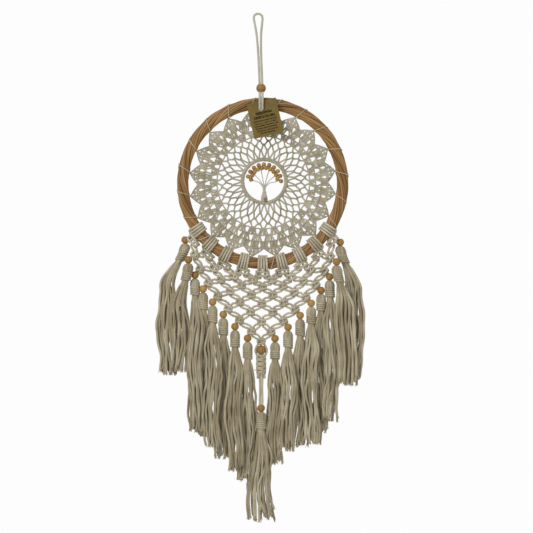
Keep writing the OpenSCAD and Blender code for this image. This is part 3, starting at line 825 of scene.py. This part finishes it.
def corner(side, row):
    if row == ROWS:
        return bottom_knot
    x, _, z = bead_at[side, row]
    lean = TIE_ANGLE[row - 1]
    return np.array((x - side * TIE * math.sin(lean), 0, z + TIE * math.cos(lean)))


def knot_place(row, j):
    """The middle of a square knot and its tilt; the first row follows the hoop."""
    last = ROWS - row
    u = 2 * j / last - 1 if last else 0.0
    spread = math.asin((corner(1, 1)[0] - HOOP[0]) / ROW_ONE_R)
    tilt = spread * u * (1 - (row - 1) / ROWS)
    if row == 1:
        return HOOP + ROW_ONE_R * np.array((math.sin(spread * u), 0, -math.cos(spread * u))), tilt
    a, b = corner(-1, row), corner(1, row)
    place = a + (b - a) * (u + 1) / 2
    place[2] -= sag * ((ROWS - row) / (ROWS - 1)) ** 2.2 * (1 - abs(u) ** 2.3)
    return place, tilt


# The ways through one square knot, from top to bottom: the left outer strand, the right one, the cores.
OVER = ((-4.6, 0.2, 2.9), (-3.2, -2.3, 3.1), (0, -3.5, 2.6), (3.3, -2.6, 2.0), (4.6, -0.6, 0),
        (3.3, -2.7, -2.0), (0, -3.5, -2.6), (-3.2, -2.3, -3.1), (-4.6, 0.2, -2.9))
UNDER = ((4.6, -0.2, 2.9), (3.2, 2.2, 3.1), (0, 3.2, 2.4), (-3.2, 2.2, 1.6), (-4.5, 0, 0.8),
         (-4.6, -1.6, 0), (-4.5, 0, -0.8), (-3.2, 2.2, -1.6), (0, 3.2, -2.4), (3.2, 2.2, -3.1),
         (4.6, -0.2, -2.9))
CORES = [((x, 0.1, 4.9), (x * 1.2, -0.4, 0), (x, 0.1, -4.9)) for x in (-1.4, 1.4)]


def knot_path(row, j, role):
    """The way one of a knot's four strands takes through it, from top to bottom."""
    middle, tilt = knot_place(row, j)
    points = np.array((OVER, CORES[0], CORES[1], UNDER)[role])
    if row == ROWS:
        points = points[:-1]        # the last knot's strands end inside it
    loose = np.random.default_rng(100 * row + 10 * j + role).normal(0, 0.16, points.shape)
    points = (points + loose) * ({1: 1.75, 2: 1.15}.get(row, 1.0), 1, 1)
    c, s = math.cos(tilt), math.sin(tilt)
    return np.stack([middle[0] + c * points[:, 0] - s * points[:, 2], points[:, 1],
                     middle[2] + s * points[:, 0] + c * points[:, 2]], 1)


def mount_path(group, strand):
    """From the bar behind the hoop, up its back, over the inner edge and down its front."""
    step = math.radians(13.6)
    spots = []
    for lap_turn in (-12, -50, -95, -140, 180, 135, 90, 50, 18):
        aside = (-1.42, -0.48, 0.48, 1.42)[strand] * math.radians(2.0)
        if lap_turn == -12:
            aside = (-1.02, 1.02)[strand // 2] * math.radians(2.0)
        down = (group - 4) * step + aside
        a = math.radians(lap_turn)
        out = BUNDLE / 2 + CORD / 2 + 0.3
        reach = HOOP_R + out * math.cos(a)
        spots.append((HOOP[0] + reach * math.sin(down), -out * math.sin(a),
                      HOOP[2] - reach * math.cos(down)))
    return np.array(spots)


# The net's cord is clean and close-laid, a shade warmer than the loop's.
cotton_cord = material("cotton_cord", spun("#a99f85", "#c3b99e", "#dad2bb", 0.3), **COTTON)
net = [Yarns(), Yarns()]
for group in range(ROWS):
    for strand in range(4):
        path = [mount_path(group, strand)]
        row, j, role = 1, group, strand
        while True:
            path.append(knot_path(row, j, role))
            left = role < 2
            below = j - 1 if left else j
            if row == ROWS or not 0 <= below < ROWS - row:
                break
            here, there = knot_place(row, j)[0], knot_place(row + 1, below)[0]
            way = (there - here) / np.linalg.norm(there - here)
            aside = np.array((-way[2], 0, way[0])) * (2.5 if role in (1, 3) else -2.5)
            path.append(((here + there) / 2 + aside + (0, dice.normal(0, 0.25), 0))[None])
            row, j, role = row + 1, below, (2, 3, 0, 1)[role]
        half = net[0 if group < ROWS / 2 else 1]
        half.add(smooth(np.vstack(path), 0.75), CORD * 0.98, sides=10, tint=dice.uniform(0.2, 0.9),
                 turn=dice.uniform(0, 6.28))
for i, half in enumerate(net):
    half = half.piece(f"knotted_net_cord_{'left' if i == 0 else 'right'}", cotton_cord)
    fitted(half, "hoop", "cotton_cord", "knot_net", "mounting_knots")


# Side tassels. At each end of a row a strand passes down through a beech bead and is bound with
# sixteen loose cords into a tassel: a domed head, four turns round the neck, and a long skirt.
HEAD_H = 24.0
BEAD_R = 5.0
SKIRT_CORD = 3.5
NECK_WRAPS = 4.3
OUT_BY = 62.0                   # a tassel has moved fully outward this far below its bead


def ease(value, start, stop):
    """From 0 to 1 as value goes from start to stop, easing in and out."""
    share = min(1.0, max(0.0, (value - start) / (stop - start)))
    return share * share * (3 - 2 * share)


def frayed(yarn, path, luck):
    """The loose fibres at the cut end of a cord."""
    way = path[-1] - path[-4]
    way = way / np.linalg.norm(way)
    for _ in range(7):
        splay = luck.normal(0, 1.0, 3) * (1, 0.8, 0.3)
        fibre = [path[-1] - 2.5 * way + 0.5 * splay, path[-1] + 0.8 * way + 0.8 * splay,
                 path[-1] + luck.uniform(1.5, 3.4) * way + 1.15 * splay]
        yarn.add(smooth(fibre, 1.0), 0.85, plies=2, groove=0.3, pitch=4.0, sides=5,
                 tint=luck.uniform(0.4, 1.0))


def neck_turns(yarn, pivot, neck_r, aside, luck):
    """The cord that binds the neck, a little slanted."""
    slope, slope_turn = luck.uniform(0.4, 1.6), luck.uniform(-0.6, 0.6)
    whole = NECK_WRAPS * 2 * math.pi
    turns = []
    for a in np.arange(0, whole, math.pi / 6):
        down = BEAD_R + 10.5 + 11.0 * a / whole + slope * math.sin(a + slope_turn)
        r = neck_r + SKIRT_CORD / 2 + 0.6 + 0.25 * math.sin(3 * a)
        turns.append((r * math.cos(a) + aside * ease(down, BEAD_R, OUT_BY), r * math.sin(a), -down))
    yarn.add(smooth(np.array(turns) + pivot, 0.9), CORD * 0.85, sides=10, tint=0.7)


def tassel(pivot, length, wide, deep, seed, count=16, head_wide=11.0, aside=0.0, layer=0.0,
           ragged=5.0, flare=0.0):
    """Head, neck turns and skirt as one mesh, and the cord that is longest as a mesh of its own."""
    luck = np.random.default_rng(seed)
    yarn, single = Yarns(), Yarns()
    head_r = head_wide / 2 - SKIRT_CORD / 2
    neck_r = 0.62 * head_r
    neck_end = BEAD_R + HEAD_H
    profile = ((0.6, 0.3), (1.8, 0.62 * head_r), (5.0, head_r), (9.5, head_r), (14.0, neck_r),
               (HEAD_H, neck_r))
    sway = luck.uniform(0, 6.28, 2)
    sway_wave = luck.uniform(90, 140)
    longest = None
    for i in range(count):
        a = 2 * math.pi * (i + 0.5 + luck.uniform(-0.2, 0.2)) / count
        c, s = math.cos(a), math.sin(a)
        across = 1 - 2 * a / math.pi if a < math.pi else -1 + 2 * (a - math.pi) / math.pi
        depth = math.copysign(0.5, s) * (0.6 + 0.8 * luck.random())
        across += luck.normal(0, 0.06)
        reach = length - 3.5 - (abs(luck.normal(0, ragged)) if i else 0)
        phase = luck.uniform(0, 6.28, 4)
        swing = luck.normal(0, 1, 4) * (1.3, 0.35, 0.8, 0.3)
        waves = np.tile((luck.uniform(48, 95), luck.uniform(20, 34)), 2)
        route = []
        for down, r in profile:
            tilt = aside * ease(down + BEAD_R, BEAD_R, OUT_BY)
            route.append((r * c + tilt, r * s, -BEAD_R - down))
        steps = int((reach - neck_end) / 6)
        for m in range(1, steps + 1):
            down = neck_end + (reach - neck_end) * m / steps
            spread = ease(down, neck_end - 6, neck_end + 36)
            wave = ease(down, neck_end, neck_end + 40)
            half = (neck_r + 0.8) * (1 - spread) + (wide - SKIRT_CORD) / 2 * spread
            half += flare * ease(down, neck_end + 10, length)
            shared = 2 * math.pi * down / sway_wave + sway
            own = 2 * math.pi * down / waves + phase
            bend = swing * np.sin(own)
            x = across * half + wave * (2.2 * math.sin(shared[0]) + bend[0] + bend[1])
            y = depth * (2 * neck_r * (1 - spread) + (deep - SKIRT_CORD) * spread)
            y += wave * (1.2 * math.sin(shared[1]) + bend[2] + bend[3])
            y = max(-deep / 2 + 1, min(deep / 2 - 1, y)) + layer * ease(down, neck_end, neck_end + 45)
            route.append((x + aside * ease(down, BEAD_R, OUT_BY), y, -down))
        path = smooth(np.array(route) + pivot, 1.0)
        target = single if i == 0 else yarn
        target.add(path, SKIRT_CORD, sides=9, groove=0.3, tint=luck.uniform(0.0, 1.0),
                   turn=luck.uniform(0, 6.28), pitch=9.0)
        if i == 0:
            longest = path
        frayed(yarn, path, luck)
    neck_turns(yarn, pivot, neck_r, aside, luck)
    return yarn, single, longest


def hang(name, body, nodes, made):
    """Makes a tassel's two meshes of skirt cord, hides its CAD nodes and gives both their body."""
    yarn, single, longest = made
    yarn = yarn.piece(f"{name}_cotton", painted_shade_skirt_cotton)
    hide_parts(*nodes)
    single = single.piece(f"{name}_longest_cord", painted_shade_skirt_cotton)
    for part in (yarn, single):
        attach(part, body)


def tie_through(name, route):
    """The short length of cord where a tassel hangs on its bead, as one fixed mesh."""
    tie = Yarns()
    tie.add(smooth(route, 0.6), CORD, sides=12, tint=0.6)
    tie = tie.piece(name, cotton_cord)
    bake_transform(tie)


# Skirt cord is the same cotton, combed open; its colours are set darker as painted shade for the shadow
# among its many cords.
painted_shade_skirt_cotton = material("painted_shade_skirt_cord", spun("#948667", "#b1a588", "#cfc5a9", 0.3), **COTTON)

# How far each of the upper tassels hangs outward at its neck.
OUTWARD = {(-1, 1): 24, (-1, 2): 12, (1, 1): 19, (1, 2): 12, (-1, 3): -1, (1, 3): 2}
for (side, k), pivot in bead_at.items():
    name = f"{'left' if side < 0 else 'right'}_{k}"
    body = f"tassel_{name}"
    length = pivot[2] - box_mm(body)[0][2]
    layer = 0.0 if k <= 2 else (3.9 if k % 2 == 0 else -3.9)
    wide = 30.0 if (side, k) == (1, 2) else 23.5
    made = tassel(pivot, length, wide, 9.4 if k <= 2 else 8.0, seed=50 + 10 * k + side,
                  count=22 if (side, k) == (1, 2) else 16, head_wide=14.0 if k <= 2 else 13.0,
                  aside=side * OUTWARD.get((side, k), 0), layer=layer)
    hang(body, body, [body], made)
    ball = beads(f"bead_beech_{name}", [(pivot, 10.0, 3.8, -side * math.radians(3))], turned_beech)
    fitted(ball, body, "turned_wood", f"bead_{name}")
    knot_middle = knot_place(k, 0 if side < 0 else ROWS - k)[0]
    mouth = pivot + 4.5 * (knot_middle - pivot) / np.linalg.norm(knot_middle - pivot) * (0.3, 1, 1)
    route = [knot_middle + 0.15 * (mouth - knot_middle), knot_middle * 0.5 + mouth * 0.5, mouth, pivot,
             pivot - (0, 0, 6.5)]
    tie_through(f"tie_cotton_{name}", route)


# Centre drop. From the net's last knot a beech bead, a short braid of square knots, two bare
# cords, a smaller bead and a full tassel with a wide ragged skirt.
low, high, _ = box_mm("centre_sinnet")
DROP_X = (low[0] + high[0]) / 2
braid_top, braid_bottom = centre_ball[2] - 6.2, low[2]
ball = beads("bead_beech_centre", [(centre_ball, 12.0, 3.8)], turned_beech)
fitted(ball, "centre_drop", "turned_wood", "centre_bead")

tie_through("tie_cotton_centre",
            [bottom_knot - (0, 0, 3), centre_ball + (0, 0, 5.5), centre_ball, centre_ball - (0, 0, 7)])

braid = Yarns()
knots = 4
pitch = (braid_top - braid_bottom) / knots
hugs = {0: ((-3.0, 0.3, 14.5), (-7.2, -1.0, 5.0)), 3: ((3.0, -0.3, 14.5), (7.2, 1.0, 5.0))}
for role in range(4):
    path = []
    if role in hugs:
        path.append(np.array(hugs[role]) + (DROP_X, 0, centre_ball[2] - 5))
    for n in range(knots):
        points = np.array((OVER, CORES[0], CORES[1], UNDER)[role]) * (1.1, 1, pitch / 8.6)
        loose = dice.normal(0, 0.12, points.shape)
        path.append(points + (DROP_X, 0, braid_top - pitch * (n + 0.5)) + loose)
    if role in (1, 2):
        side = -1 if role == 1 else 1
        drop_low = box_mm("drop_cord")[0][2]
        plain = [(side * (1.45 + 0.2 * math.sin(z / 5)), 0.5 * side * math.cos(z / 9), z)
                 for z in np.arange(braid_bottom - 6, drop_low, -7.0)]
        plain += [(side * 1.5, 0, drop_low), (side * 0.9, 0, drop_low - 3)]
        path.append(np.array(plain) + (DROP_X, 0, 0))
    else:
        side = -1 if role == 0 else 1
        cut_end = [(side * 4.2, -1.0, braid_bottom - 3), (side * 4.6, -1.4, braid_bottom - 7)]
        path.append(np.array(cut_end) + (DROP_X, 0, 0))
    braid.add(smooth(np.vstack(path), 0.75), CORD, sides=12, tint=0.3 + 0.15 * role, turn=role)
for m in range(7):
    aside = dice.normal(0, 3.4)
    top = np.array((DROP_X + aside * 0.8, -3.0, braid_bottom + dice.uniform(1, 6)))
    reach = dice.uniform(0.6, 1.6)
    fray = [top, top + (aside * reach, -1.2, -4), top + (aside * 2 * reach, -0.6, -dice.uniform(3, 11))]
    braid.add(smooth(fray, 0.8), 0.8, plies=2, groove=0.3, pitch=4.0, sides=6, tint=0.8)
braid = braid.piece("sinnet_cotton_cord", cotton_cord)
fitted(braid, "centre_drop", "cotton_cord", "centre_sinnet", "drop_cord")

low, high, lower_ball = box_mm("drop_bead")
ball = beads("bead_beech_drop", [(lower_ball, 10.0, 3.8)], turned_beech)
fitted(ball, "drop_tassel", "turned_wood", "drop_bead")
length = lower_ball[2] - box_mm("drop_tassel")[0][2]
made = tassel(lower_ball, length, 21.0, 14.0, seed=5, count=22, head_wide=14.0, layer=-2.0,
              ragged=7.0, flare=9.0)
hang("drop_tassel", "drop_tassel", ["drop_tassel"], made)
tie_through("tie_cotton_drop",
            [lower_ball + (0, 0, 9), lower_ball, lower_ball - (0, 0, 7)])


# Brings the scene up to date.
bpy.context.view_layer.update()
